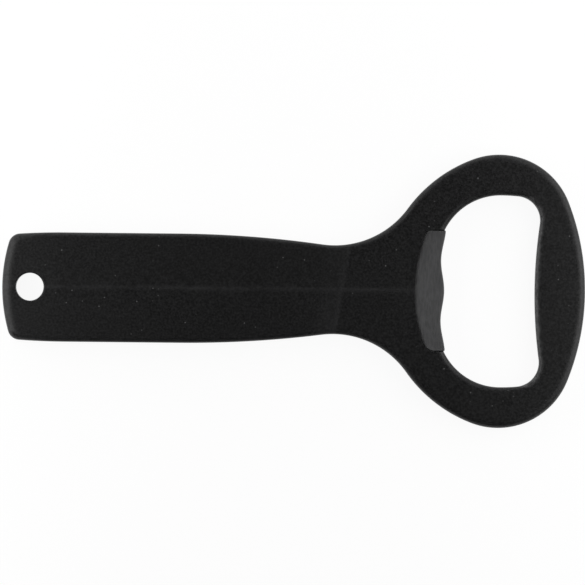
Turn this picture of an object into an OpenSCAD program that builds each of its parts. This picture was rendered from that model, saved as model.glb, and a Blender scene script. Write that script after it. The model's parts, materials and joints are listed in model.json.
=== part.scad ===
// Flat bottle opener with a ring hole in its handle.
// The body is one casting: handle, neck and a ring-shaped head.
// A hard steel lip, cast into the back wall of the head's opening, hooks under the crown cap.
//
// Frame: +X from the ring hole to the head, +Y across, +Z out of the front face.
// The origin is under the middle of the bounding box, on the surface that the opener lies on.
// Everything in the head is placed from its nose, and everything at the ring hole from the handle's end.

/* [Overall] */
// Length from the handle's end to the nose of the head
overall_l = 120; // [100:1:160]
// Thickness of the handle, with its centre ridge
grip_t = 5; // [4.2:0.1:8]
// How far the front of the head lies below the front of the handle
head_step = 0.6; // [0.1:0.05:0.8]
// Distance from the nose back to where the front starts to fall towards the head
step_place = 56.8; // [54:0.1:62]
// Length of that fall, which ends in a crease
step_l = 7; // [5:0.1:10]
// How far the crease runs forward for each unit across
step_skew = 0.17; // [0:0.01:0.3]
// Height of the ridge along the centre line of the front
ridge_h = 0.2; // [0.05:0.05:0.4]

/* [Head outline] */
// Width of the head
head_w = 56.3; // [50:0.1:68]
// Radius of the flat nose
nose_r = 50; // [42:1:70]
// Radius of the cheeks, where the head is widest
cheek_r = 15.4; // [13:0.1:18]
// Radius of the shoulders behind the cheeks
shoulder_r = 29; // [27:0.1:34]

/* [Handle outline] */
// Width of the neck at its narrowest
neck_w = 18.3; // [15:0.1:22]
// Radius of the hollow between the neck and the shoulder
neck_r = 18.6; // [15:0.1:24]
// Width of the handle
grip_w = 22.5; // [20:0.1:28]
// Radius of the long swell between the neck and the handle
swell_r = 222; // [180:1:260]
// Distance from the handle's end at which its sides start to close in
ease_l = 13; // [10:0.5:20]
// Radius of the sides where they close in
ease_r = 145; // [100:5:300]
// Radius of the handle's end face, seen from the front
end_r = 33; // [20:1:60]
// Radius of the two corners at the handle's end
corner_r = 2.5; // [1.5:0.1:5]

/* [Ring hole] */
// Diameter of the hole for a key ring
ring_hole_d = 5.7; // [4:0.1:8]
// Distance from the handle's end to the middle of the hole
ring_hole_inset = 5.7; // [5.5:0.1:12]
// Width of the bevel at the mouths of the hole
hole_bevel = 0.3; // [0.1:0.05:0.6]

/* [Cap opening] */
// Width of the opening, across the opener
opening_w = 39.5; // [36:0.1:47]
// Metal between the nose and the opening, on the centre line
rim_w = 10.4; // [7:0.1:14]
// Radius of the front wall, which bulges into the opening and rests on the cap
front_wall_r = 100; // [60:5:200]
// Radius of the two front corners
front_corner_r = 5; // [3:0.1:7]
// Radius of the side walls at their widest
side_wall_r = 38.7; // [30:0.1:60]
// Radius of the two back corners
back_corner_r = 12.9; // [11:0.1:15]
// Distance from the nose to the widest place of the opening
opening_peak = 17.4; // [15:0.1:20]

/* [Lip insert] */
// Length of the lip, across the opener
lip_l = 24.9; // [18:0.1:29]
// How far the middle of the lip stands out of the back wall
lip_reach = 1.3; // [0.5:0.1:2.5]
// Depth of the two scallops in the lip's edge
scallop_depth = 0.75; // [0.2:0.05:1]
// Distance from one crest of the lip's edge to the next
scallop_pitch = 12.8; // [9:0.1:14]
// How much further than its middle the lip's ends reach
lip_hollow = 0.25; // [0:0.05:0.5]
// Length of the lip's ramp on the centre line
ramp_l = 6.1; // [4:0.1:9]
// Radius of the arc along which the ramp starts
ramp_r = 32; // [25:1:50]
// Fall of the ramp, in degrees
ramp_angle = 14; // [8:0.5:18]
// Radius of the ramp's corner on the +Y side
upper_corner_r = 1.2; // [0.8:0.1:3]
// Radius of the ramp's corner on the -Y side
lower_corner_r = 2.6; // [0.8:0.1:3]
// Metal of the body left under the lip
shelf_t = 1.2; // [0.8:0.1:2]
// Thickness of the tang that anchors the lip inside the body
tang_t = 1.6; // [1:0.1:2]
// Length of the tang behind the ramp
tang_l = 5.5; // [4.5:0.1:8]
// Width of the tang
tang_w = 16; // [12:0.5:20]
// Diameter of the two anchor holes in the tang, which the casting fills
anchor_d = 3; // [2:0.1:3.6]
// Gap between the lip insert and the casting around it
insert_gap = 0.02; // [0.01:0.01:0.05]

/* [Edges] */
// Radius of the front edge along the head
head_edge_r = 1.4; // [0.6:0.1:1.6]
// Radius of the front edge along the handle
grip_edge_r = 1; // [0.6:0.1:1.6]
// Radius of the front edge round the handle's end
end_edge_r = 1.9; // [0.6:0.1:2]
// Radius of the back edge, all round
back_edge_r = 0.8; // [0.4:0.1:1.2]
// Radius of both edges of the cap opening
opening_edge_r = 1.1; // [0.3:0.1:1.2]
// Length over which one edge radius changes into the next
edge_blend_l = 9; // [5:1:20]

/* [Hidden] */

chord_error = 0.012;   // largest distance between an arc and its facets
over = 1;              // how far a cutter runs past the face that it cuts
round_sides = 64;      // facets of a round hole, post or cone

nose_x = overall_l / 2;
end_x = -overall_l / 2;
grip_top = grip_t - ridge_h;       // front of the handle, beside the ridge
head_top = grip_top - head_step;   // front of the head

// Front face: the handle comes down to the head over this stretch, soft at its start and creased at its end
step_start = nose_x - step_place;
step_end = step_start + step_l;
opening_back_x = nose_x - opening_peak - back_corner_r;    // back wall of the opening
lip_tip_x = opening_back_x + lip_reach;
ramp_start_x = lip_tip_x - ramp_l;
ridge_reach = grip_w / 2;         // half-width over which the ridge dies away
ridge_end = ramp_start_x - 0.5;   // the ridge stops just short of the lip
ridge_fade_l = 4;                 // length over which it fades out there

// Centres of the outline's arcs
nose_c = [nose_x - nose_r, 0];
cheek_y = head_w / 2 - cheek_r;
cheek_c = [nose_c[0] + sqrt(pow(nose_r - cheek_r, 2) - cheek_y * cheek_y), cheek_y];
shoulder_c = [cheek_c[0] + sqrt(pow(shoulder_r - cheek_r, 2) - cheek_y * cheek_y), 0];
neck_y = neck_w / 2 + neck_r;
neck_c = [shoulder_c[0] - sqrt(pow(shoulder_r + neck_r, 2) - neck_y * neck_y), neck_y];
swell_y = grip_w / 2 - swell_r;
swell_c = [neck_c[0] - sqrt(pow(swell_r + neck_r, 2) - pow(neck_y - swell_y, 2)), swell_y];
ease_c = [end_x + ease_l, grip_w / 2 - ease_r];
end_c = [end_x + end_r, 0];
corner_c = crossing(end_c, end_r - corner_r, ease_c, ease_r - corner_r, -1);

// Centres of the opening's arcs
front_wall_c = [nose_x - rim_w + front_wall_r, 0];
side_wall_c = [nose_x - opening_peak, opening_w / 2 - side_wall_r];
back_corner_c = [nose_x - opening_peak, opening_w / 2 - back_corner_r];
front_corner_c = crossing(front_wall_c, front_wall_r + front_corner_r,
                          side_wall_c, side_wall_r - front_corner_r, -1);

// The ramp is part of a cone whose axis stands here; its rim lies a little outside the lip's plan
ramp_c = [ramp_start_x + ramp_r, 0];
ramp_lead = 0.05;
ramp_cut = 3;   // depth of the cone, more than the ramp's whole fall

// Outline of the body from the nose to the handle's end, on the +Y side.
// A station is [x, y, outward x, outward y].
half_outline = concat(
    arc(nose_c, nose_r, 0, bearing(cheek_c - nose_c), 1),
    arc(cheek_c, cheek_r, bearing(cheek_c - nose_c), bearing(cheek_c - shoulder_c), 1),
    arc(shoulder_c, shoulder_r, bearing(cheek_c - shoulder_c), bearing(neck_c - shoulder_c), 1),
    arc(neck_c, neck_r, bearing(neck_c - shoulder_c) - 180, bearing(neck_c - swell_c) - 180, -1),
    arc(swell_c, swell_r, bearing(neck_c - swell_c), 90, 1),
    arc(ease_c, ease_r, 90, bearing(corner_c - ease_c), 1),
    arc(corner_c, corner_r, bearing(corner_c - ease_c), bearing(corner_c - end_c), 1),
    arc(end_c, end_r, bearing(corner_c - end_c), 180, 1),
    [[end_x, 0, -1, 0]]);

// Outline of the opening from its front wall to its back wall, on the +Y side
half_opening = concat(
    arc(front_wall_c, front_wall_r, 180, bearing(front_corner_c - front_wall_c), -1),
    arc(front_corner_c, front_corner_r, bearing(front_corner_c - front_wall_c) - 180,
        bearing(front_corner_c - side_wall_c), 1),
    arc(side_wall_c, side_wall_r, bearing(front_corner_c - side_wall_c), 90, 1),
    arc(back_corner_c, back_corner_r, 90, 180, 1),
    [[opening_back_x, 0, -1, 0]]);

function bearing(v) = (atan2(v[1], v[0]) + 360) % 360;

// Point where two circles cross; side is 1 for the crossing on the left of the way from a to b, else -1
function crossing(a, ra, b, rb, side) =
    let (d = norm(b - a), u = (b - a) / d, along = (ra * ra - rb * rb + d * d) / (2 * d),
         across = sqrt(ra * ra - along * along))
    a + along * u + side * across * [-u[1], u[0]];

// Stations along an arc, without its last one; bulge is 1 where the arc curves outward, else -1
function arc(centre, r, from, to, bulge) =
    let (steps = ceil(abs(to - from) / (2 * acos(1 - chord_error / r))))
    [for (i = [0 : steps - 1])
        let (a = from + (to - from) * i / steps, u = [cos(a), sin(a)])
        concat(centre + r * u, bulge * u)];

// A half outline and its mirror image, as one closed loop
function closed(half) =
    concat(half, [for (i = [len(half) - 2 : -1 : 1]) [half[i][0], -half[i][1], half[i][2], -half[i][3]]]);

// Two triangles over four corners, split from a to c or else from b to d
function quad(a, b, c, d, from_a) = from_a ? [[a, b, c], [a, c, d]] : [[a, b, d], [b, c, d]];

function clamp01(t) = max(0, min(1, t));
function smooth(t) = let (c = clamp01(t)) c * c * (3 - 2 * c);

// Share of the step that is gone at a share t of the fall's length: even, and steepest just before the crease
function fallen(t) = 0.85 * pow(t, 1.4) + 0.15 * pow(t, 8);

// Height of the front face
function front_z(x, y) =
    let (down = fallen(clamp01((x - step_skew * y - step_start) / step_l)),
         crest = pow(max(0, 1 - abs(y) / ridge_reach), 2) * (1 - smooth((x - ridge_end) / ridge_fade_l + 1)))
    grip_top - head_step * down + ridge_h * crest;

// Radius of the front edge at a place along the opener
function front_edge_r(x) =
    grip_edge_r + (end_edge_r - grip_edge_r) * (1 - smooth((x - end_x) / edge_blend_l))
                + (head_edge_r - grip_edge_r) * smooth((x - step_end) / edge_blend_l);

// Where the front face meets its spine, so that the mesh lies square to the handle and fans out at both ends
spine_from = end_x + 12;
spine_to = step_end + 3;
end_fan = 0.5;
head_fan = 0.7;
function spine_x(x) =
    x < spine_from ? spine_from + (x - spine_from) * end_fan
    : x > spine_to ? spine_to + (x - spine_to) * head_fan
    : x;

front_rows = [0.88, 0.66, 0.36];                  // shares of the way from the edge rounding to the spine
edge_turns = [90 : -22.5 : 0];                    // turn of the front edge's rounding
back_turns = [0 : 30 : 90];                       // turn of the back edge's rounding

// Cross-section of the body at one station, from the front spine to the back spine
function section(s) =
    let (r = front_edge_r(s[0]),
         inner = [s[0] - r * s[2], s[1] - r * s[3]],
         spine = [spine_x(s[0]), 0])
    concat(
        [for (t = front_rows) let (p = inner + t * (spine - inner)) [p[0], p[1], front_z(p[0], p[1])]],
        [for (a = edge_turns)
            let (in = r * (1 - cos(a)), x = s[0] - in * s[2], y = s[1] - in * s[3])
            [x, y, front_z(x, y) - r * (1 - sin(a))]],
        [for (a = back_turns)
            let (in = back_edge_r * (1 - cos(a)))
            [s[0] - in * s[2], s[1] - in * s[3], back_edge_r * (1 - sin(a))]]);

// Casting before anything is cut out of it
module blank() {
    stations = closed(half_outline);
    n = len(stations);
    half = len(half_outline) - 1;
    sections = [for (s = stations) section(s)];
    k = len(sections[0]);
    spines = [for (s = half_outline) spine_x(s[0])];
    points = concat([for (c = sections) each c],
                    [for (x = spines) [x, 0, front_z(x, 0)]],
                    [for (x = spines) [x, 0, 0]]);
    front = n * k;
    back = front + half + 1;
    faces = [for (i = [0 : n - 1])
        let (j = (i + 1) % n, si = i <= half ? i : n - i, sj = j <= half ? j : n - j,
             leaving_tip = i % half < half / 2)
        each concat(
            quad(front + si, front + sj, j * k, i * k, leaving_tip),
            [for (m = [0 : k - 2]) each quad(i * k + m, j * k + m, j * k + m + 1, i * k + m + 1, true)],
            quad(i * k + k - 1, j * k + k - 1, back + sj, back + si, !leaving_tip))];
    polyhedron(points, faces, convexity = 4);
}

// Cutter for the cap opening, flared where it rounds the opening's edges.
// A row of the flare is [how far outward, how far above the face].
module cap_opening() {
    stations = closed(half_opening);
    n = len(stations);
    r = opening_edge_r;
    wide = r + 0.3;
    clear = 0.08;
    flare = [[wide, over], [wide, clear], for (a = [60, 30, 0]) [r * (1 - cos(a)), -r * (1 - sin(a))]];
    rows = concat([for (f = flare) [f[0], head_top + f[1]]],
                  [for (i = [len(flare) - 1 : -1 : 0]) [flare[i][0], -flare[i][1]]]);
    k = len(rows);
    centre = [nose_x - opening_peak, 0];
    points = concat([for (s = stations, row = rows) [s[0] + row[0] * s[2], s[1] + row[0] * s[3], row[1]]],
                    [concat(centre, head_top + over), concat(centre, -over)]);
    faces = [for (i = [0 : n - 1])
        let (j = (i + 1) % n)
        each concat(
            [[n * k, j * k, i * k]],
            [for (m = [0 : k - 2]) each quad(i * k + m, j * k + m, j * k + m + 1, i * k + m + 1, true)],
            [[i * k + k - 1, j * k + k - 1, n * k + 1]])];
    polyhedron(points, faces, convexity = 4);
}

// Hole for the key ring, with a bevel at both mouths
module ring_hole() {
    mouth_z = front_z(end_x + ring_hole_inset, ring_hole_d / 2);
    r = ring_hole_d / 2;
    translate([end_x + ring_hole_inset, 0, 0]) {
        translate([0, 0, -over])
            cylinder(h = grip_t + 2 * over, r = r, $fn = round_sides);
        translate([0, 0, -over])
            cylinder(h = over + hole_bevel, r1 = r + over + hole_bevel, r2 = r, $fn = round_sides);
        translate([0, 0, mouth_z - hole_bevel])
            cylinder(h = over + hole_bevel, r1 = r, r2 = r + over + hole_bevel, $fn = round_sides);
    }
}

// Corner of the ramp's plan at one end of the lip, as points going from the arc to the lip's end
function ramp_corner(side, r, gap) =
    let (y = lip_l / 2 + gap - r, big = ramp_r + gap - r,
         c = [ramp_c[0] - sqrt(big * big - y * y), y],
         from = bearing(c - ramp_c))
    [for (p = arc(c, r, from, 90, 1)) [p[0], side * p[1]]];

// Edge of the lip: a middle tooth between two scallops
function lip_edge_x(y) =
    lip_tip_x - scallop_depth / 2 * (1 - cos(360 * y / scallop_pitch)) + lip_hollow * pow(2 * y / lip_l, 2);

// Plan of the lip in front of its tang; gap makes it larger all round
module lip_plan(gap) {
    half = lip_l / 2 + gap;
    upper = ramp_corner(1, upper_corner_r, gap);
    lower = ramp_corner(-1, lower_corner_r, gap);
    r = ramp_r + gap;
    a = asin(upper[0][1] / r);
    b = asin(lower[0][1] / r);
    back_steps = 16;
    edge_steps = 40;
    polygon(concat(
        [for (i = [1 : back_steps - 1]) let (t = b + (a - b) * i / back_steps)
            [ramp_c[0] - r * cos(t), r * sin(t)]],
        upper,
        [for (i = [0 : edge_steps]) let (y = half - 2 * half * i / edge_steps) [lip_edge_x(y) + gap, y]],
        [for (i = [len(lower) - 1 : -1 : 0]) lower[i]]));
}

// Tang behind the lip; gap makes it larger all round and its anchor holes smaller
module tang(gap) {
    back_x = ramp_start_x - tang_l;
    anchor_y = tang_w / 4;
    difference() {
        translate([back_x - gap, -tang_w / 2 - gap, shelf_t - gap])
            cube([tang_l + 2 * gap + ramp_l / 2, tang_w + 2 * gap, tang_t + 2 * gap]);
        for (side = [-1, 1])
            translate([back_x + tang_l / 2, side * anchor_y, shelf_t - over])
                cylinder(h = tang_t + 2 * over, d = anchor_d - 2 * gap, $fn = round_sides);
    }
}

module lip_insert() {
    color("dimgray") difference() {
        union() {
            translate([0, 0, shelf_t]) linear_extrude(head_top - shelf_t) lip_plan(0);
            tang(0);
        }
        // The ramp falls towards the tip
        rim_r = ramp_r + ramp_lead;
        translate([ramp_c[0], 0, head_top - ramp_cut])
            cylinder(h = ramp_cut, r1 = rim_r - ramp_cut / tan(ramp_angle), r2 = rim_r, $fn = 2 * round_sides);
    }
}

module opener_body() {
    color([0.12, 0.12, 0.125]) difference() {
        blank();
        cap_opening();
        translate([0, 0, shelf_t - insert_gap]) linear_extrude(grip_t) lip_plan(insert_gap);
        tang(insert_gap);
        ring_hole();
    }
}

opener_body();
lip_insert();
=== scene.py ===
"""Flat keychain bottle opener: a black anodised casting with a ground steel lip, on a pale floor."""

import json
import math

import bmesh
import bpy
import numpy as np
from bpy.props import FloatProperty, FloatVectorProperty, IntProperty, PointerProperty
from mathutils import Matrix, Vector
from mathutils.geometry import delaunay_2d_cdt


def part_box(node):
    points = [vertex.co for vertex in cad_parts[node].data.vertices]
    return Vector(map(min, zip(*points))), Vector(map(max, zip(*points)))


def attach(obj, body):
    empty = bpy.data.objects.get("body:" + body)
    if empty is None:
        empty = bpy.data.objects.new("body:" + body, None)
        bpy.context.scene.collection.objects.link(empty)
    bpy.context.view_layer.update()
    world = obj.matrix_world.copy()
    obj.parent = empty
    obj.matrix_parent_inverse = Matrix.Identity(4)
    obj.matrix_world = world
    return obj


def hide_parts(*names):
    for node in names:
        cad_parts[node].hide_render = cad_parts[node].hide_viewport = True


bl_info = {
    "name": "Keychain Bottle Opener",
    "version": (1, 0, 0),
    "blender": (4, 5, 0),
    "location": "View3D > Sidebar > Bottle Opener",
    "description": "Builds a flat cast bottle opener with a steel lip, and a plain studio round it",
    "category": "Add Mesh",
}

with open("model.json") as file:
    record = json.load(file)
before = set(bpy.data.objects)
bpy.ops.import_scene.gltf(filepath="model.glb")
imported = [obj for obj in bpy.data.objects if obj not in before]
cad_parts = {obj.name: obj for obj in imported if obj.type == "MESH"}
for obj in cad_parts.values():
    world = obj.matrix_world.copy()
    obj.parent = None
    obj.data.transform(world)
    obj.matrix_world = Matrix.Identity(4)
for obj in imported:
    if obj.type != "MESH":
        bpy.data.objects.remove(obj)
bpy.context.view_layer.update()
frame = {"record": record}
BODY_LO, BODY_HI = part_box("opener_body")
LIP_LO, LIP_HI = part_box("lip_insert")
RING_MOUNT = next(m for m in frame["record"]["mounts"] if m["name"] == "ring_hole")

MM = 0.001
QUARTER = math.pi / 2


# Sizes and colours


def length(name, description, default):
    """A length property in metres."""
    return FloatProperty(name=name, description=description, default=default, min=0.0,
                         unit="LENGTH", precision=5)


def share(name, description, default):
    """A property that runs from 0 to 1."""
    return FloatProperty(name=name, description=description, default=default, min=0.0, max=1.0,
                         subtype="FACTOR")


def colour(name, description, default):
    """A linear colour property."""
    return FloatVectorProperty(name=name, description=description, default=default, min=0.0, max=1.0,
                               size=3, subtype="COLOR")


class OpenerBodySizes(bpy.types.PropertyGroup):
    """Sizes of the casting."""

    overall_l: length("Length", "From the handle's end to the nose", BODY_HI.x - BODY_LO.x)
    head_w: length("Head width", "Width of the head", BODY_HI.y - BODY_LO.y)
    grip_t: length("Thickness", "Thickness of the handle, with its ridge", BODY_HI.z - BODY_LO.z)
    ridge_h: length("Ridge height", "Height of the ridge along the front", 0.0002)
    step_h: length("Step height", "How far the front of the head lies below the handle's", 0.0006)
    bead_h: length("Bead height", "Height of the fine bead on top of the ridge", 0.00002)
    bead_w: length("Bead width", "Half-width of the fine bead", 0.0003)
    nose_r: length("Nose radius", "Radius of the flat nose", 0.050)
    cheek_r: length("Cheek radius", "Radius where the head is widest", 0.0154)
    shoulder_r: length("Shoulder radius", "Radius behind the cheeks", 0.029)
    neck_w: length("Neck width", "Width of the neck at its narrowest", 0.0183)
    neck_r: length("Neck radius", "Radius of the hollow at the neck", 0.0186)
    grip_w: length("Handle width", "Width of the handle", 0.0225)
    swell_r: length("Swell radius", "Radius of the swell between neck and handle", 0.222)
    ease_l: length("Ease length", "Stretch over which the handle closes in at its end", 0.013)
    ease_r: length("Ease radius", "Radius of the sides where they close in", 0.145)
    end_r: length("End radius", "Radius of the handle's end face", 0.033)
    corner_r: length("Corner radius", "Radius of the handle's two corners", 0.0025)
    step_start: length("Step start", "From the nose back to where the front starts to fall", 0.0568)
    step_end: length("Step end", "From the nose back to the crease where the fall ends", 0.0498)
    step_skew: share("Step skew", "How far the crease runs forward for each unit across", 0.17)
    hole_edge_r: length("Hole edge", "Rounding at the mouths of the ring hole", 0.0003)
    opening_w: length("Opening width", "Width of the cap opening", 0.0395)
    rim_w: length("Rim width", "Metal between the nose and the opening", 0.0104)
    front_wall_r: length("Front wall radius", "Radius of the wall that rests on the cap", 0.100)
    front_corner_r: length("Front corner radius", "Radius of the opening's front corners", 0.005)
    side_wall_r: length("Side wall radius", "Radius of the opening's sides", 0.0387)
    back_corner_r: length("Back corner radius", "Radius of the opening's back corners", 0.0129)
    opening_peak: length("Opening peak", "From the nose back to the widest place", 0.0174)
    head_edge_r: length("Head edge", "Rounding of the front edge along the head", 0.0014)
    grip_edge_r: length("Handle edge", "Rounding of the front edge along the handle", 0.001)
    end_edge_r: length("End edge", "Rounding of the front edge round the handle's end", 0.0019)
    back_edge_r: length("Back edge", "Rounding of the back edge", 0.0008)
    opening_edge_r: length("Opening edge", "Rounding of both edges of the opening", 0.0011)
    edge_blend_l: length("Edge blend", "Stretch over which one rounding becomes the next", 0.009)


class LipSizes(bpy.types.PropertyGroup):
    """Sizes of the steel lip and its tang."""

    lip_l: length("Lip length", "Length of the lip, across the opener", LIP_HI.y - LIP_LO.y)
    under_z: length("Underside height", "Height of the lip's underside", LIP_LO.z)
    reach: length("Reach", "How far the middle of the lip stands out of the wall", 0.0013)
    scallop_depth: length("Scallop depth", "Depth of the two scallops", 0.00075)
    scallop_pitch: length("Scallop pitch", "From one crest of the edge to the next", 0.0128)
    hollow: length("Hollow", "How much further the lip's ends reach than its middle", 0.00025)
    ramp_l: length("Ramp length", "Length of the ramp on the centre line", 0.0061)
    ramp_r: length("Ramp radius", "Radius of the arc along which the ramp starts", 0.032)
    ramp_angle: FloatProperty(name="Ramp angle", description="Fall of the ramp",
                              default=math.radians(14), min=0.0, subtype="ANGLE")
    ramp_soft: length("Ramp start", "Stretch over which the ramp starts to fall", 0.0003)
    upper_corner_r: length("Upper corner", "Radius of the ramp's corner on the +Y side", 0.0012)
    lower_corner_r: length("Lower corner", "Radius of the ramp's corner on the -Y side", 0.0026)
    tip_corner_r: length("Tip corner", "Radius of the two corners at the lip's edge", 0.0003)
    tip_edge_r: length("Tip edge", "Rounding of the lip's edge", 0.0002)
    seam_edge_r: length("Seam edge", "Rounding where the lip lies in the casting", 0.00003)
    tang_t: length("Tang thickness", "Thickness of the tang inside the casting", 0.0016)
    tang_l: length("Tang length", "Length of the tang behind the ramp", 0.0055)
    tang_w: length("Tang width", "Width of the tang", 0.016)
    anchor_d: length("Anchor hole", "Diameter of the two holes that the casting fills", 0.003)
    gap: length("Gap", "Gap between the lip and the casting", 0.00002)
    pocket_draft: share("Pocket draft", "Slope of the pocket's wall above the ramp", 0.3)


class MeshDetail(bpy.types.PropertyGroup):
    """Fineness of the meshes."""

    arc_step: length("Arc step", "Longest piece of an outline's arc", 0.0004)
    face_step: length("Face step", "Spacing of the points on the front", 0.0006)
    lip_step: length("Lip step", "Spacing of the points on the lip", 0.00035)
    back_step: length("Back step", "Spacing of the points on the back", 0.002)
    edge_turns: IntProperty(name="Edge turns", description="Facets in each edge's rounding",
                            default=8, min=2)


class OpenerFinishes(bpy.types.PropertyGroup):
    """Colours and surface qualities."""

    anodise_dark: colour("Anodise", "Colour of the dyed oxide", (0.0060, 0.0060, 0.0061))
    anodise_light: colour("Anodise, light grains", "Colour of the blasted peaks",
                          (0.0161, 0.0161, 0.0164))
    speck: colour("Specks", "Colour of the few pale grains, and of the edge that caps rub",
                  (0.100, 0.100, 0.101))
    # Also the colour of the painted highlights along the ridge and on the step
    worn_and_highlight: colour("Worn edge", "Colour of rubbed edges, of the ridge and of the step",
                 (0.030, 0.030, 0.031))
    anodise_roughness: share("Anodise roughness", "Roughness of the blasted oxide", 0.38)
    anodise_gloss: share("Anodise gloss", "Specular level of the blasted oxide", 0.22)
    steel_dark: colour("Steel, dark grain", "Colour of the hollows of the grinding lines",
                       (0.057, 0.057, 0.058))
    steel_light: colour("Steel, light grain", "Colour of the crests of the grinding lines",
                        (0.083, 0.083, 0.084))
    steel_roughness: share("Steel roughness", "Roughness of the ground steel", 0.42)


class StudioSettings(bpy.types.PropertyGroup):
    """Camera, lamps and floor."""

    camera_height: length("Camera height", "Height of the camera above the head", 2.5)
    view_w: length("View width", "Width of the view at the head", 0.12037)
    aim_x: FloatProperty(name="Aim X", description="Where the camera stands along the opener",
                         default=-0.00023, unit="LENGTH", precision=5)
    aim_y: FloatProperty(name="Aim Y", description="Where the camera stands across the opener",
                         default=-0.00066, unit="LENGTH", precision=5)
    roll: FloatProperty(name="Roll", description="Turn of the camera about its own axis",
                        default=math.radians(0.567), subtype="ANGLE")
    box_power: FloatProperty(name="Softbox power", description="Power of each lamp, in watts",
                             default=2.35, min=0.0)
    box_out: length("Softbox distance", "From the opener's middle out to each lamp", 0.5)
    box_up: length("Softbox height", "Height of each lamp", 0.2)
    box_w: length("Softbox width", "One side of each lamp", 0.8)
    box_h: length("Softbox depth", "Other side of each lamp", 0.55)
    card_up: length("Card height", "Height of the dark card above the opener", 0.08)
    card_l: length("Card length", "Size of the dark card along the opener", 0.13)
    card_w: length("Card width", "Size of the dark card across the opener", 0.3)
    side_card_l: length("Side card length", "Length of the standing card", 0.6)
    side_card_out: length("Side card distance", "From the opener's axis to the standing card", 0.12)
    side_card_up: length("Side card height", "Height of the standing card", 0.16)
    world_fill: FloatProperty(name="World fill", description="Strength of the world's light",
                              default=1.75, min=0.0)
    floor_share: share("Floor glow", "Share of the floor's white that no shadow reaches", 0.93)
    floor_size: length("Floor size", "Side of the floor", 12.0)


# Outlines, as rows of stations: x, y and the direction out of the metal

# Takes a station to the other side of the centre line
MIRRORED = (1, -1, 1, -1)
# Turns the stations of an outer outline into those of a hole
INWARD = (1, 1, -1, -1)


def bearing(vector):
    """Direction of a vector, from 0 to a full turn."""
    return math.atan2(vector[1], vector[0]) % math.tau


def leg(longest, other):
    """Third side of a right triangle, from its longest side and another one."""
    return math.sqrt(longest ** 2 - other ** 2)


def crossing(a, ra, b, rb):
    """Point where two circles cross, on the right of the way from a to b."""
    way = b - a
    d = np.linalg.norm(way)
    along = (ra * ra - rb * rb + d * d) / (2 * d)
    unit = way / d
    return a + along * unit + leg(ra, along) * np.array([unit[1], -unit[0]])


def arc(centre, r, start, stop, bulge, step):
    """Stations along an arc without its last one; bulge is 1 where the arc curves outward, else -1."""
    turn_limit = math.radians(4)
    count = max(1, math.ceil(abs(stop - start) * max(r / step, 1 / turn_limit)))
    angles = start + (stop - start) * np.arange(count) / count
    ways = np.stack([np.cos(angles), np.sin(angles)], axis=1)
    return np.hstack([centre + r * ways, bulge * ways])


def closed(half):
    """A half outline on the +Y side and its mirror image, as one closed loop."""
    return np.vstack([half, half[-2:0:-1] * MIRRORED])


def body_outline(s, step):
    """Outer outline of the casting."""
    nose_x = BODY_HI.x
    end_x = nose_x - s.overall_l
    nose_c = np.array([nose_x - s.nose_r, 0.0])
    cheek_y = s.head_w / 2 - s.cheek_r
    cheek_c = np.array([nose_c[0] + leg(s.nose_r - s.cheek_r, cheek_y), cheek_y])
    shoulder_c = np.array([cheek_c[0] + leg(s.shoulder_r - s.cheek_r, cheek_y), 0.0])
    neck_y = s.neck_w / 2 + s.neck_r
    neck_c = np.array([shoulder_c[0] - leg(s.shoulder_r + s.neck_r, neck_y), neck_y])
    swell_y = s.grip_w / 2 - s.swell_r
    swell_c = np.array([neck_c[0] - leg(s.swell_r + s.neck_r, neck_y - swell_y), swell_y])
    ease_c = np.array([end_x + s.ease_l, s.grip_w / 2 - s.ease_r])
    end_c = np.array([end_x + s.end_r, 0.0])
    corner_c = crossing(end_c, s.end_r - s.corner_r, ease_c, s.ease_r - s.corner_r)
    to_cheek = bearing(cheek_c - nose_c)
    to_shoulder = bearing(cheek_c - shoulder_c)
    to_neck = bearing(neck_c - shoulder_c)
    to_swell = bearing(neck_c - swell_c)
    to_corner = bearing(corner_c - ease_c)
    to_end = bearing(corner_c - end_c)
    return closed(np.vstack([
        arc(nose_c, s.nose_r, 0, to_cheek, 1, step),
        arc(cheek_c, s.cheek_r, to_cheek, to_shoulder, 1, step),
        arc(shoulder_c, s.shoulder_r, to_shoulder, to_neck, 1, step),
        arc(neck_c, s.neck_r, to_neck - math.pi, to_swell - math.pi, -1, step),
        arc(swell_c, s.swell_r, to_swell, QUARTER, 1, step),
        arc(ease_c, s.ease_r, QUARTER, to_corner, 1, step),
        arc(corner_c, s.corner_r, to_corner, to_end, 1, step),
        arc(end_c, s.end_r, to_end, math.pi, 1, step),
        [[end_x, 0, -1, 0]]]))


def opening_outline(s, step):
    """Wall of the cap opening."""
    nose_x = BODY_HI.x
    peak_x = nose_x - s.opening_peak
    front_wall_c = np.array([nose_x - s.rim_w + s.front_wall_r, 0.0])
    side_wall_c = np.array([peak_x, s.opening_w / 2 - s.side_wall_r])
    back_corner_c = np.array([peak_x, s.opening_w / 2 - s.back_corner_r])
    front_corner_c = crossing(front_wall_c, s.front_wall_r + s.front_corner_r,
                              side_wall_c, s.side_wall_r - s.front_corner_r)
    to_corner = bearing(front_corner_c - front_wall_c)
    to_side = bearing(front_corner_c - side_wall_c)
    loop = closed(np.vstack([
        arc(front_wall_c, s.front_wall_r, math.pi, to_corner, -1, step),
        arc(front_corner_c, s.front_corner_r, to_corner - math.pi, to_side, 1, step),
        arc(side_wall_c, s.side_wall_r, to_side, QUARTER, 1, step),
        arc(back_corner_c, s.back_corner_r, QUARTER, math.pi, 1, step),
        [[peak_x - s.back_corner_r, 0, -1, 0]]]))
    return loop * INWARD


def ring_hole_outline(step):
    """Wall of the ring hole, from the mount that it serves."""
    centre = np.array(RING_MOUNT["pos_m"][:2])
    return arc(centre, RING_MOUNT["dims"]["r_mm"] * MM, 0, math.tau, 1, step) * INWARD


def lip_tip_x(s, lip):
    """Where the lip's edge lies on the centre line, out from the opening's back wall."""
    return BODY_HI.x - s.opening_peak - s.back_corner_r + lip.reach


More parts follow.
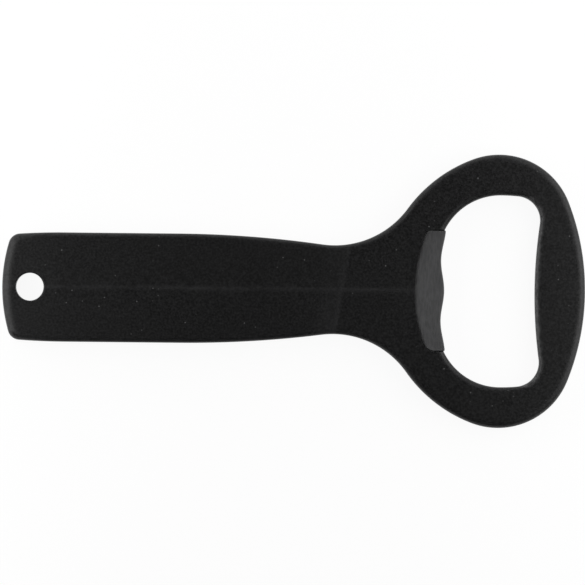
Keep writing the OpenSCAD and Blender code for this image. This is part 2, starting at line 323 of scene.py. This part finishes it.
def lip_start_x(s, lip):
    """Where the ramp starts, on the centre line."""
    return lip_tip_x(s, lip) - lip.ramp_l


def lip_edge_x(s, lip, y):
    """Edge of the lip: a middle tooth between two scallops."""
    wave = 1 - np.cos(math.tau * y / lip.scallop_pitch)
    return lip_tip_x(s, lip) - lip.scallop_depth / 2 * wave + lip.hollow * (2 * y / lip.lip_l) ** 2


def lip_side(corner, tip_x, half, step):
    """Stations along one end of the lip, from its ramp's corner to its edge's."""
    xs = np.arange(corner[-1][0] + step, tip_x - step / 2, step)
    return np.array([[x, half, 0, 1] for x in xs])


def lip_outline(s, lip, step, gap):
    """Plan of the lip in front of its tang; gap makes it larger all round."""
    ramp_c = np.array([lip_start_x(s, lip) + lip.ramp_r, 0.0])
    big = lip.ramp_r + gap
    half = lip.lip_l / 2 + gap
    corners = []
    for r in (lip.upper_corner_r, lip.lower_corner_r):
        y = half - r
        c = np.array([ramp_c[0] - leg(big - r, y), y])
        turn = bearing(c - ramp_c)
        corners.append((turn, arc(c, r, turn, QUARTER, 1, step)))
    (upper_turn, upper), (lower_turn, lower) = corners
    back = arc(ramp_c, big, math.tau - lower_turn, upper_turn, 1, step)
    r = lip.tip_corner_r
    y = half - r
    c = np.array([lip_edge_x(s, lip, y) + gap - r, y])
    tip_corner = np.vstack([arc(c, r, QUARTER, 0, 1, step), [[c[0] + r, y, 1, 0]]])
    ys = np.linspace(y, -y, 2 * math.ceil(y / step) + 1)[1:-1]
    nudge = 1e-6
    slopes = (lip_edge_x(s, lip, ys + nudge) - lip_edge_x(s, lip, ys - nudge)) / (2 * nudge)
    ways = np.stack([np.ones_like(ys), -slopes], axis=1) / np.hypot(1, slopes)[:, None]
    tip = np.hstack([np.stack([lip_edge_x(s, lip, ys) + gap, ys], axis=1), ways])
    upper_side = lip_side(upper, c[0], half, step)
    lower_side = lip_side(lower, c[0], half, step)
    return np.vstack([back, upper, upper_side, tip_corner, tip, tip_corner[::-1] * MIRRORED,
                      lower_side[::-1] * MIRRORED, lower[:0:-1] * MIRRORED])


# Surfaces


def smooth(t):
    """Eased step from 0 to 1."""
    c = np.clip(t, 0, 1)
    return c * c * (3 - 2 * c)


def head_top(s):
    """Height of the head's front face."""
    return s.grip_t - s.ridge_h - s.step_h


def ridge_share(s, lip, x):
    """How much of the ridge is left at x: all of it on the handle, none at the lip."""
    fade_l = 0.004
    short_of_lip = 0.0005
    end_x = lip_start_x(s, lip) - short_of_lip
    return 1 - smooth((x - end_x) / fade_l + 1)


def step_share(s, x, y):
    """How far a place lies along the fall to the head: 0 at its start, 1 at the crease, more beyond."""
    start_x = BODY_HI.x - s.step_start
    end_x = BODY_HI.x - s.step_end
    return (x - s.step_skew * y - start_x) / (end_x - start_x)


def front_z(s, lip, x, y):
    """Height of the front face: most of the fall is gradual, and the rest comes close to the crease."""
    along = np.clip(step_share(s, x, y), 0, 1)
    gradual = 0.85
    down = gradual * along ** 1.4 + (1 - gradual) * along ** 8
    reach = s.grip_w / 2
    slope = np.maximum(0, 1 - np.abs(y) / reach) ** 2
    bead = np.exp(-(y / s.bead_w) ** 2)
    crest = ((s.ridge_h - s.bead_h) * slope + s.bead_h * bead) * ridge_share(s, lip, x)
    return s.grip_t - s.ridge_h - s.step_h * down + crest


def front_edge_r(s, x):
    """Rounding of the front edge at a place along the opener."""
    end_x = BODY_HI.x - s.overall_l
    step_x = BODY_HI.x - s.step_end
    near_end = 1 - smooth((x - end_x) / s.edge_blend_l)
    near_head = smooth((x - step_x) / s.edge_blend_l)
    end_change = (s.end_edge_r - s.grip_edge_r) * near_end
    head_change = (s.head_edge_r - s.grip_edge_r) * near_head
    return s.grip_edge_r + end_change + head_change


def ramp_z(s, lip, x, y):
    """Height of the lip's ramp, a cone that starts to fall softly."""
    centre_x = lip_start_x(s, lip) + lip.ramp_r
    run = np.maximum(0, lip.ramp_r - np.hypot(x - centre_x, y))
    soft = lip.ramp_soft
    eased = np.where(run < soft, run * run / (2 * soft), run - soft / 2)
    return head_top(s) - math.tan(lip.ramp_angle) * eased


# Meshes


def inside(points, loop):
    """Which points lie inside a closed loop."""
    a = loop[:, :2]
    b = np.roll(a, -1, axis=0)
    rise = np.where(a[:, 1] == b[:, 1], 1, b[:, 1] - a[:, 1])
    y = points[:, 1:2]
    straddles = (a[:, 1] > y) != (b[:, 1] > y)
    cross_x = a[:, 0] + (b[:, 0] - a[:, 0]) * (y - a[:, 1]) / rise
    return (straddles & (points[:, 0:1] < cross_x)).sum(axis=1) % 2 == 1


def within(points, loops):
    """Which points lie in the metal between the loops."""
    return np.sum([inside(points, loop) for loop in loops], axis=0) % 2 == 1


def clear_of(points, loops, distance):
    """Those of the points that lie in the metal and further than a distance from every loop."""
    points = points[within(points, loops)]
    edge = np.vstack(loops)[:, :2]
    nearest = np.array([np.min(np.hypot(*(edge - p).T)) for p in points])
    return points[nearest > distance]


def lattice(loops, step):
    """Points spread over the metal between the loops, none close to a loop."""
    clearance = 0.6 * step
    low = np.min(loops[0][:, :2], axis=0)
    high = np.max(loops[0][:, :2], axis=0)
    rise = step * math.sqrt(3) / 2
    rows = np.arange(-math.ceil(-low[1] / rise), math.ceil(high[1] / rise) + 1)
    points = []
    for row in rows:
        xs = np.arange(low[0] + (row % 2) * step / 2, high[0], step)
        points.append(np.stack([xs, np.full_like(xs, row * rise)], axis=1))
    return clear_of(np.vstack(points), loops, clearance)


def filled(loops, points):
    """Triangles over the metal between the loops, through the points; the loops' points come first."""
    inside_only = 1
    nearness = 1e-6
    flat = np.vstack([loop[:, :2] for loop in loops] + [points])
    edges = []
    first = 0
    for loop in loops:
        count = len(loop)
        edges += [(first + i, first + (i + 1) % count) for i in range(count)]
        first += count
    result = delaunay_2d_cdt([Vector(p / MM) for p in flat], edges, [], inside_only, nearness, True)
    owner = [ids[0] for ids in result[3]]
    triangles = np.array([[owner[i] for i in face] for face in result[2]])
    centres = flat[triangles].mean(axis=1)
    return triangles[within(centres, loops)]


def bands(first, count, rows):
    """Faces that join closed rows of points, each row to the next."""
    faces = []
    for upper in range(first, first + (rows - 1) * count, count):
        lower = upper + count
        for i in range(count):
            j = (i + 1) % count
            faces.append((upper + i, upper + j, lower + j, lower + i))
    return faces


def wall_rows(loop, top, front_r, back_r, turns, hold, bottom=0.0):
    """Rows of points over the rounded front edge, down the wall and round to the back face.

    hold is a narrow flat band beyond each rounding, which keeps its shading off the face.
    """
    xy = loop[:, :2]
    way = loop[:, 2:]
    front_r = np.broadcast_to(front_r, len(loop))[:, None]
    rows = []

    def add(depth, drop):
        spot = xy - depth * way
        rows.append(np.column_stack([spot, top(spot[:, 0], spot[:, 1]) - drop[:, 0]]))

    nothing = np.zeros_like(front_r)
    add(front_r + hold, nothing)
    for turn in np.linspace(QUARTER, 0, turns + 1):
        add(front_r * (1 - math.cos(turn)), front_r * (1 - math.sin(turn)))
    for turn in np.linspace(0, QUARTER, turns + 1):
        spot = xy - back_r * (1 - math.cos(turn)) * way
        rows.append(np.column_stack([spot, np.full(len(loop), bottom + back_r * (1 - math.sin(turn)))]))
    spot = xy - (back_r + hold) * way
    rows.append(np.column_stack([spot, np.full(len(loop), bottom)]))
    return rows


def plate(name, walls, top, front_step, back_step, bottom=0.0, extra=None):
    """A solid plate between walls: the first wall is its outline, the others are its holes.

    extra is a function that adds points of its own to those on the front.
    """
    points = []
    faces = []
    first_rows = []
    last_rows = []
    total = 0
    for rows in walls:
        count = len(rows[0])
        faces += bands(total, count, len(rows))
        first_rows.append(np.arange(total, total + count))
        last_rows.append(np.arange(total + (len(rows) - 1) * count, total + len(rows) * count))
        points.append(np.vstack(rows))
        total += count * len(rows)
    points = np.vstack(points)
    for rows, step, height in ((first_rows, front_step, top), (last_rows, back_step, None)):
        loops = [points[ids] for ids in rows]
        spread = lattice(loops, step)
        if extra is not None and height is not None:
            spread = extra(spread, loops)
        z = height(spread[:, 0], spread[:, 1]) if height else np.full(len(spread), bottom)
        ids = np.concatenate(rows + [np.arange(len(points), len(points) + len(spread))])
        faces += [tuple(ids[t]) for t in filled(loops, spread)]
        points = np.vstack([points, np.column_stack([spread, z])])
    return solid(name, points, faces)


def solid(name, points, faces):
    """An object from points and faces, with its faces turned outward."""
    mesh = bpy.data.meshes.new(name)
    mesh.from_pydata([tuple(p) for p in points], [], faces)
    work = bmesh.new()
    work.from_mesh(mesh)
    bmesh.ops.recalc_face_normals(work, faces=work.faces)
    work.to_mesh(mesh)
    work.free()
    piece = bpy.data.objects.new(name, mesh)
    bpy.context.scene.collection.objects.link(piece)
    return piece


def combine(piece, tool, operation):
    """Cuts the tool out of the piece, or joins it on, and deletes the tool."""
    modifier = piece.modifiers.new("combine", "BOOLEAN")
    modifier.operation = operation
    modifier.solver = "MANIFOLD"
    modifier.object = tool
    apply_modifiers(piece)
    bpy.data.objects.remove(tool)


def apply_modifiers(piece):
    """Makes the piece's modified shape its mesh."""
    graph = bpy.context.evaluated_depsgraph_get()
    shaped = bpy.data.meshes.new_from_object(piece.evaluated_get(graph))
    piece.modifiers.clear()
    old = piece.data
    piece.data = shaped
    bpy.data.meshes.remove(old)
    shaped.materials.clear()
    shaped.name = piece.name


def box_solid(name, low, high):
    """A plain block."""
    corners = [(x, y, z)
               for z in (low[2], high[2])
               for y in (low[1], high[1])
               for x in (low[0], high[0])]
    faces = [(0, 2, 3, 1), (4, 5, 7, 6), (0, 1, 5, 4), (2, 6, 7, 3), (0, 4, 6, 2), (1, 3, 7, 5)]
    return solid(name, corners, faces)


def post_solid(name, centre, r, low, high):
    """A round post along Z."""
    sides = 48
    turns = [math.tau * i / sides for i in range(sides)]
    ring = [(centre[0] + r * math.cos(turn), centre[1] + r * math.sin(turn)) for turn in turns]
    points = [(x, y, z) for z in (low, high) for x, y in ring]
    ends = [tuple(range(sides)), tuple(range(sides, 2 * sides))]
    return solid(name, points, ends + bands(0, sides, 2))


def tang_solid(s, lip, gap):
    """Tang with its two anchor holes; gap makes it larger all round and its holes smaller."""
    start_x = lip_start_x(s, lip)
    back_x = start_x - lip.tang_l
    half = lip.tang_w / 2
    top = lip.under_z + lip.tang_t
    tang = box_solid("tang", (back_x - gap, -half - gap, lip.under_z - gap),
                     (start_x + lip.ramp_l / 2, half + gap, top + gap))
    for side in (-1, 1):
        centre = (back_x + lip.tang_l / 2, side * lip.tang_w / 4)
        post = post_solid("post", centre, lip.anchor_d / 2 - gap, lip.under_z - MM, top + MM)
        combine(tang, post, "DIFFERENCE")
    return tang


def pocket_solid(s, lip, detail):
    """Cutter for the lip's pocket; its wall leans outward above the ramp."""
    loop = lip_outline(s, lip, detail.lip_step, lip.gap)
    top = head_top(s)
    depth = top - ramp_z(s, lip, loop[:, 0], loop[:, 1])
    above = MM
    rows = []
    for height in (lip.under_z - lip.gap, None, top, top + above):
        if height is None:
            z = top - depth
        else:
            z = np.full(len(loop), height)
        lean = lip.pocket_draft * np.maximum(0, z - (top - depth)) * (depth > lip.gap)
        lean = np.minimum(lean, lip.pocket_draft * (depth + above))
        rows.append(np.column_stack([loop[:, :2] + lean[:, None] * loop[:, 2:], z]))
    count = len(loop)
    last = (len(rows) - 1) * count
    ends = [tuple(range(count)), tuple(range(last, last + count))]
    return solid("pocket", np.vstack(rows), ends + bands(0, count, len(rows)))


def weld(piece, nearness):
    """Joins points that a cut left closer together than this, and drops the slivers between them."""
    work = bmesh.new()
    work.from_mesh(piece.data)
    bmesh.ops.remove_doubles(work, verts=work.verts, dist=nearness)
    work.to_mesh(piece.data)
    work.free()


def finish_mesh(piece):
    """Smooth shading, with the sharp edges kept crisp."""
    sharp = math.radians(30)
    piece.data.shade_smooth()
    piece.data.set_sharp_from_angle(angle=sharp)


def store(piece, name, values):
    """Keeps one number for each point of the mesh, for the material to read."""
    layer = piece.data.attributes.new(name, "FLOAT", "POINT")
    layer.data.foreach_set("value", np.asarray(values, np.float32))


def points_of(piece):
    """The mesh's points and their normals."""
    count = len(piece.data.vertices)
    co = np.zeros(count * 3)
    normals = np.zeros(count * 3)
    piece.data.vertices.foreach_get("co", co)
    piece.data.vertices.foreach_get("normal", normals)
    return co.reshape(-1, 3), normals.reshape(-1, 3)


def ridge_rows(s, lip, step, spread, loops):
    """The spread points, with fine rows along the centre line in place of the lattice there."""
    half_band = 0.0012
    row_step = 0.8 * step
    clearance = 0.5 * step
    side = np.array([0.3, 0.6, 1, 1.4, 2, 3])
    ys = s.bead_w * np.concatenate([-side[::-1], [0], side])
    start_x = lip_start_x(s, lip)
    rim_x = BODY_HI.x - s.rim_w
    on_head = (spread[:, 0] > start_x) & (spread[:, 0] < rim_x)
    kept = spread[(np.abs(spread[:, 1]) > half_band) | on_head]
    xs = np.arange(BODY_HI.x - s.overall_l, BODY_HI.x, row_step)
    xs = xs[(xs < start_x) | (xs > rim_x)]
    rows = np.array([(x, y) for x in xs for y in ys])
    return np.vstack([kept, clear_of(rows, loops, clearance)])


def mark_wear_and_highlights(body, s, lip):
    """Stores where the casting is rubbed, on its edges and the wall that caps press on, and where
    highlights are painted, along the ridge and on the step.
    """
    edge_rub = 0.35
    cap_reach = 0.003
    neck_highlight = 0.6
    rim_highlight = 0.25
    highlight_w = 1.6 * s.bead_w
    rim_x = BODY_HI.x - s.rim_w
    co, normals = points_of(body)
    # 1 where a front edge leans at 45 degrees; 0 on flat faces, upright walls and the back
    rounded = np.clip(2 * normals[:, 2] * np.hypot(normals[:, 0], normals[:, 1]), 0, 1)
    cap_side = (np.abs(co[:, 0] - rim_x) < cap_reach) & (np.abs(co[:, 1]) < s.opening_w / 2)
    store(body, "rubbed_edge", edge_rub * rounded)
    store(body, "cap_wear", rounded * cap_side)
    on_front = normals[:, 2] > 0.5
    # Painted highlight: a lighter line along the centre of the front, on the ridge, the neck and the rim
    centre_line_highlight = neck_highlight * (co[:, 0] < lip_start_x(s, lip)) + rim_highlight * (co[:, 0] > rim_x)
    line = np.maximum(ridge_share(s, lip, co[:, 0]), centre_line_highlight) * on_front
    store(body, "painted_ridge_highlight", np.exp(-(co[:, 1] / highlight_w) ** 2) * line)
    # Painted highlight: the fall to the head is lighter, and lighter still along its crease
    along = step_share(s, co[:, 0], co[:, 1])
    slope_highlight = smooth((along - 0.2) / 0.5)
    crease_highlight = smooth((along - 0.88) / 0.1)
    painted_step_highlight = np.where(along < 1, slope_highlight + crease_highlight, 0)
    store(body, "painted_step_highlight", painted_step_highlight / 2 * on_front)


def build_body(s, lip, detail):
    """The casting: handle, neck and ring-shaped head, with the lip's pocket cut into it."""
    def top(x, y):
        return front_z(s, lip, x, y)

    def with_ridge(spread, loops):
        return ridge_rows(s, lip, detail.face_step, spread, loops)

    hold = 0.00025
    outline = body_outline(s, detail.arc_step)
    opening = opening_outline(s, detail.arc_step)
    hole = ring_hole_outline(detail.arc_step)
    turns = detail.edge_turns
    walls = [
        wall_rows(outline, top, front_edge_r(s, outline[:, 0]), s.back_edge_r, turns, hold),
        wall_rows(opening, top, s.opening_edge_r, s.opening_edge_r, turns, hold),
        wall_rows(hole, top, s.hole_edge_r, s.hole_edge_r, turns, hold),
    ]

    body = plate("opener_body_skin", walls, top, detail.face_step, detail.back_step, extra=with_ridge)
    combine(body, pocket_solid(s, lip, detail), "DIFFERENCE")
    combine(body, tang_solid(s, lip, lip.gap), "DIFFERENCE")
    weld(body, 0.001 * MM)
    finish_mesh(body)
    mark_wear_and_highlights(body, s, lip)
    return body


def build_lip(s, lip, detail):
    """The ground lip with its tang."""
    def top(x, y):
        return ramp_z(s, lip, x, y)

    hold = 0.00005
    low = lip.under_z
    loop = lip_outline(s, lip, detail.lip_step, 0.0)
    share_out = smooth((loop[:, 0] - lip_start_x(s, lip)) / lip.ramp_l)
    edge_r = lip.seam_edge_r + (lip.tip_edge_r - lip.seam_edge_r) * share_out
    walls = [wall_rows(loop, top, edge_r, lip.seam_edge_r, detail.edge_turns, hold, bottom=low)]
    piece = plate("lip_insert_ground", walls, top, detail.lip_step, detail.back_step, bottom=low)
    combine(piece, tang_solid(s, lip, 0.0), "UNION")
    finish_mesh(piece)
    return piece


# Materials


class Finish:
    """A material under construction: its nodes, and short ways to add more."""

    def __init__(self, name):
        self.material = bpy.data.materials.new(name)
        self.material.use_nodes = True
        self.nodes = self.material.node_tree.nodes
        self.links = self.material.node_tree.links
        self.shader = self.nodes["Principled BSDF"]

    def node(self, kind, **settings):
        """A new node with its settings; settings that name an input set that socket."""
        made = self.nodes.new(kind)
        for key, value in settings.items():
            if hasattr(made, key):
                setattr(made, key, value)
            else:
                made.inputs[key.replace("_", " ")].default_value = value
        return made

    def link(self, source, target):
        """Joins two sockets."""
        self.links.new(source, target)

    def place(self):
        """Object coordinates."""
        return self.node("ShaderNodeTexCoord").outputs["Object"]

    def stretched(self, scale):
        """Object coordinates, scaled along each axis."""
        mapping = self.node("ShaderNodeMapping", Scale=scale)
        self.link(self.place(), mapping.inputs["Vector"])
        return mapping.outputs["Vector"]

    def noise(self, vector, scale, detail=2.0, roughness=0.5):
        """Noise from 0 to 1."""
        made = self.node("ShaderNodeTexNoise", Scale=scale, Detail=detail, Roughness=roughness)
        self.link(vector, made.inputs["Vector"])
        return made.outputs["Fac"]

    def ranged(self, value, low, high, to_low=0.0, to_high=1.0):
        """Maps one range of values to another, without going past its ends."""
        made = self.node("ShaderNodeMapRange", clamp=True)
        made.inputs["From Min"].default_value = low
        made.inputs["From Max"].default_value = high
        made.inputs["To Min"].default_value = to_low
        made.inputs["To Max"].default_value = to_high
        self.link(value, made.inputs["Value"])
        return made.outputs["Result"]

    def times(self, a, b):
        """Product of two values."""
        made = self.node("ShaderNodeMath", operation="MULTIPLY")
        self.link(a, made.inputs[0])
        self.link(b, made.inputs[1])
        return made.outputs[0]

    def mixed(self, factor, a, b):
        """Mix of two colours; each is a colour value or a socket."""
        made = self.node("ShaderNodeMix", data_type="RGBA")
        self.link(factor, made.inputs[0])
        for value, socket in ((a, made.inputs[6]), (b, made.inputs[7])):
            if isinstance(value, bpy.types.NodeSocket):
                self.link(value, socket)
            else:
                socket.default_value = (*value, 1.0)
        return made.outputs[2]

    def attribute(self, name):
        """A number kept with the mesh."""
        return self.node("ShaderNodeAttribute", attribute_name=name).outputs["Fac"]

    def bump(self, height, distance, strength, under=None):
        """Bump from a height; under is a bump that this one lies on."""
        made = self.node("ShaderNodeBump", Strength=strength, Distance=distance)
        self.link(height, made.inputs["Height"])
        if under is not None:
            self.link(under, made.inputs["Normal"])
        return made.outputs["Normal"]


def black_anodised_casting(look):
    """Bead-blasted aluminium, dyed black, with a few pale grains, softly rubbed edges, and painted
    highlights along the ridge and on the step.
    """
    grain_scale = 2300.0
    cloud_scale = 140.0
    wear_scale = 900.0
    speck_scale = 900.0
    cap_wear = (0.2, 0.8)
    crest_highlight = (0.2, 0.42)
    step_highlight = (0.08, 0.34)
    speck_size = (0.07, 0.17)
    speck_choice = (0.86, 0.96)
    roughness_change = 0.02
    grain_depth = 0.00003
    cloud_depth = 0.00004
    finish = Finish("black_anodised_casting")
    place = finish.place()
    grain = finish.noise(place, grain_scale)
    cloud = finish.noise(place, cloud_scale)
    tone = finish.mixed(finish.ranged(grain, 0.35, 0.67), look.anodise_dark, look.anodise_light)
    patches = finish.ranged(finish.noise(place, wear_scale, detail=3.0), 0.35, 0.75)
    rubbed = finish.times(finish.attribute("rubbed_edge"), patches)
    tone = finish.mixed(rubbed, tone, look.worn_and_highlight)
    bare = finish.times(finish.attribute("cap_wear"), finish.ranged(patches, 0.0, 1.0, *cap_wear))
    tone = finish.mixed(bare, tone, look.speck)
    # Painted highlight: a lighter line along the ridge's crest
    crest = finish.times(finish.attribute("painted_ridge_highlight"), finish.ranged(cloud, 0.3, 0.7, *crest_highlight))
    tone = finish.mixed(crest, tone, look.worn_and_highlight)
    # Painted highlight: a lighter fall to the head and along its crease
    step = finish.times(finish.attribute("painted_step_highlight"), finish.ranged(cloud, 0.35, 0.65, *step_highlight))
    tone = finish.mixed(step, tone, look.worn_and_highlight)
    cells = finish.node("ShaderNodeTexVoronoi", Scale=speck_scale)
    finish.link(place, cells.inputs["Vector"])
    dot = finish.ranged(cells.outputs["Distance"], *speck_size, 1.0, 0.0)
    chosen = finish.node("ShaderNodeSeparateColor")
    finish.link(cells.outputs["Color"], chosen.inputs["Color"])
    few = finish.ranged(chosen.outputs["Red"], *speck_choice)
    tone = finish.mixed(finish.times(dot, few), tone, look.speck)
    finish.link(tone, finish.shader.inputs["Base Color"])
    low = look.anodise_roughness - roughness_change
    high = look.anodise_roughness + roughness_change
    finish.link(finish.ranged(cloud, 0.3, 0.7, low, high), finish.shader.inputs["Roughness"])
    blast = finish.bump(grain, grain_depth, 0.35)
    finish.link(finish.bump(cloud, cloud_depth, 0.15, under=blast), finish.shader.inputs["Normal"])
    finish.shader.inputs["Specular IOR Level"].default_value = look.anodise_gloss
    return finish.material


def dark_ground_steel(look):
    """Blackened hard steel, ground in lines across the opener."""
    line_scale = 3200.0
    patch_scale = 420.0
    line_depth = 0.00001
    finish = Finish("dark_ground_steel")
    lines = finish.noise(finish.stretched((1.0, 0.2, 1.0)), line_scale, detail=3.0, roughness=0.6)
    patches = finish.noise(finish.stretched((1.0, 0.5, 1.0)), patch_scale)
    tone = finish.mixed(finish.ranged(lines, 0.3, 0.72), look.steel_dark, look.steel_light)
    blend = finish.node("ShaderNodeMix", data_type="RGBA", blend_type="MULTIPLY")
    blend.inputs[0].default_value = 1.0
    finish.link(tone, blend.inputs[6])
    finish.link(finish.ranged(patches, 0.25, 0.75, 0.88, 1.08), blend.inputs[7])
    finish.link(blend.outputs[2], finish.shader.inputs["Base Color"])
    finish.shader.inputs["Metallic"].default_value = 1.0
    low = look.steel_roughness - 0.06
    high = look.steel_roughness + 0.08
    finish.link(finish.ranged(lines, 0.3, 0.7, low, high), finish.shader.inputs["Roughness"])
    finish.link(finish.bump(lines, line_depth, 0.4), finish.shader.inputs["Normal"])
    return finish.material


# Studio


def white_for_sight(nodes, links):
    """1 for rays from the camera, from gloss and through glass; 0 for light that falls on things."""
    rays = nodes.new("ShaderNodeLightPath")
    total = rays.outputs["Is Camera Ray"]
    for name in ("Is Glossy Ray", "Is Transmission Ray"):
        more = nodes.new("ShaderNodeMath")
        more.operation = "MAXIMUM"
        links.new(total, more.inputs[0])
        links.new(rays.outputs[name], more.inputs[1])
        total = more.outputs[0]
    return total


def pale_floor(studio):
    """Plain floor: white to the eye, with a share of it left to the object's shadow."""
    pale = 0.95
    thick = 0.01
    reach = studio.floor_size / 2
    floor = box_solid("floor", (-reach, -reach, -thick), (reach, reach, 0.0))
    material = bpy.data.materials.new("pale_floor")
    material.use_nodes = True
    nodes = material.node_tree.nodes
    links = material.node_tree.links
    nodes.clear()
    matte = nodes.new("ShaderNodeBsdfDiffuse")
    matte.inputs["Color"].default_value = (pale, pale, pale, 1.0)
    glow = nodes.new("ShaderNodeEmission")
    part = nodes.new("ShaderNodeMath")
    part.operation = "MULTIPLY"
    part.inputs[1].default_value = studio.floor_share
    links.new(white_for_sight(nodes, links), part.inputs[0])
    mix = nodes.new("ShaderNodeMixShader")
    links.new(part.outputs[0], mix.inputs["Fac"])
    links.new(matte.outputs["BSDF"], mix.inputs[1])
    links.new(glow.outputs["Emission"], mix.inputs[2])
    output = nodes.new("ShaderNodeOutputMaterial")
    links.new(mix.outputs["Shader"], output.inputs["Surface"])
    floor.data.materials.append(material)


def dark_cards(studio):
    """Black cards above the opener and on its -Y side, for its front to mirror."""
    x = studio.card_l / 2
    y = studio.card_w / 2
    side_x = studio.side_card_l / 2
    side_y = -studio.side_card_out
    black = 0.004
    thick = 0.002
    off_floor = 0.006
    material = bpy.data.materials.new("dark_card")
    material.use_nodes = True
    shader = material.node_tree.nodes["Principled BSDF"]
    shader.inputs["Base Color"].default_value = (black, black, black, 1.0)
    shader.inputs["Roughness"].default_value = 0.9
    boxes = {
        "dark_card_above": ((-x, -y, studio.card_up), (x, y, studio.card_up + thick)),
        "dark_card_side": ((-side_x, side_y - thick, off_floor), (side_x, side_y, studio.side_card_up)),
    }
    for name, (low, high) in boxes.items():
        card = box_solid(name, low, high)
        card.data.materials.append(material)
        card.visible_camera = False


def soft_boxes(studio):
    """A large soft lamp beyond each end of the opener, turned towards its middle."""
    for side, name in ((-1, "softbox_end"), (1, "softbox_nose")):
        data = bpy.data.lights.new(name, "AREA")
        data.shape = "RECTANGLE"
        data.size = studio.box_w
        data.size_y = studio.box_h
        data.energy = studio.box_power
        lamp = bpy.data.objects.new(name, data)
        lamp.location = (side * studio.box_out, 0.0, studio.box_up)
        lamp.rotation_euler = (-lamp.location).to_track_quat("-Z", "Y").to_euler()
        lamp.visible_camera = False
        bpy.context.scene.collection.objects.link(lamp)


def white_world(studio):
    """White surroundings to the eye, and an even light from all round."""
    world = bpy.data.worlds.new("studio_world")
    world.use_nodes = True
    nodes = world.node_tree.nodes
    links = world.node_tree.links
    nodes.clear()
    fill = nodes.new("ShaderNodeBackground")
    fill.inputs["Strength"].default_value = studio.world_fill
    sight = nodes.new("ShaderNodeBackground")
    for background in (fill, sight):
        background.inputs["Color"].default_value = (1.0, 1.0, 1.0, 1.0)
    mix = nodes.new("ShaderNodeMixShader")
    links.new(white_for_sight(nodes, links), mix.inputs["Fac"])
    links.new(fill.outputs["Background"], mix.inputs[1])
    links.new(sight.outputs["Background"], mix.inputs[2])
    output = nodes.new("ShaderNodeOutputWorld")
    links.new(mix.outputs["Shader"], output.inputs["Surface"])
    bpy.context.scene.world = world


def plan_camera(studio, head_z):
    """Camera high above the opener, looking straight down."""
    data = bpy.data.cameras.new("plan_camera")
    data.sensor_width = 36.0
    data.lens = data.sensor_width * studio.camera_height / studio.view_w
    data.clip_start = 0.1
    data.clip_end = 20.0
    camera = bpy.data.objects.new("plan_camera", data)
    camera.location = (studio.aim_x, studio.aim_y, head_z + studio.camera_height)
    camera.rotation_euler = (0.0, 0.0, studio.roll)
    bpy.context.scene.collection.objects.link(camera)
    bpy.context.scene.camera = camera


# Operators


class OPENER_OT_stage(bpy.types.Operator):
    """Set up the floor, lamps, surroundings and camera"""

    bl_idname = "opener.stage"
    bl_label = "Studio"

    def execute(self, context):
        scene = context.scene
        studio = scene.opener_studio
        pale_floor(studio)
        dark_cards(studio)
        soft_boxes(studio)
        white_world(studio)
        plan_camera(studio, head_top(scene.opener_body))
        scene.view_settings.view_transform = "Standard"
        return {"FINISHED"}


class OPENER_OT_body(bpy.types.Operator):
    """Build the black anodised casting"""

    bl_idname = "opener.body"
    bl_label = "Opener body"

    def execute(self, context):
        scene = context.scene
        body = build_body(scene.opener_body, scene.opener_lip, scene.opener_detail)
        body.data.materials.append(black_anodised_casting(scene.opener_finishes))
        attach(body, "root")
        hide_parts("opener_body")
        return {"FINISHED"}


class OPENER_OT_lip(bpy.types.Operator):
    """Build the ground steel lip with its tang"""

    bl_idname = "opener.lip"
    bl_label = "Steel lip"

    def execute(self, context):
        scene = context.scene
        lip = build_lip(scene.opener_body, scene.opener_lip, scene.opener_detail)
        lip.data.materials.append(dark_ground_steel(scene.opener_finishes))
        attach(lip, "root")
        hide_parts("lip_insert")
        return {"FINISHED"}


class VIEW3D_PT_bottle_opener(bpy.types.Panel):
    """Lists the opener's pieces, their sizes and their finishes"""

    bl_label = "Bottle Opener"
    bl_space_type = "VIEW_3D"
    bl_region_type = "UI"
    bl_category = "Bottle Opener"

    def draw(self, context):
        layout = self.layout
        for operator in PIECE_OPERATORS:
            layout.operator(operator.bl_idname)
        for name, group in SETTINGS.items():
            box = layout.box()
            box.label(text=group.__doc__)
            for key in group.__annotations__:
                box.prop(getattr(context.scene, name), key)


SETTINGS = {
    "opener_body": OpenerBodySizes,
    "opener_lip": LipSizes,
    "opener_detail": MeshDetail,
    "opener_finishes": OpenerFinishes,
    "opener_studio": StudioSettings,
}
PIECE_OPERATORS = (OPENER_OT_stage, OPENER_OT_body, OPENER_OT_lip)
CLASSES = (*SETTINGS.values(), *PIECE_OPERATORS, VIEW3D_PT_bottle_opener)


def register():
    """Registers the classes and hangs the settings on the scene."""
    for cls in CLASSES:
        bpy.utils.register_class(cls)
    for name, group in SETTINGS.items():
        setattr(bpy.types.Scene, name, PointerProperty(type=group))


def unregister():
    """Takes the settings and the classes away again."""
    for name in SETTINGS:
        delattr(bpy.types.Scene, name)
    for cls in reversed(CLASSES):
        bpy.utils.unregister_class(cls)


def main():
    """Registers the classes, sets up the studio and builds every piece."""
    register()
    bpy.ops.opener.stage()
    bpy.ops.opener.body()
    bpy.ops.opener.lip()


if __name__ == "__main__":
    main()
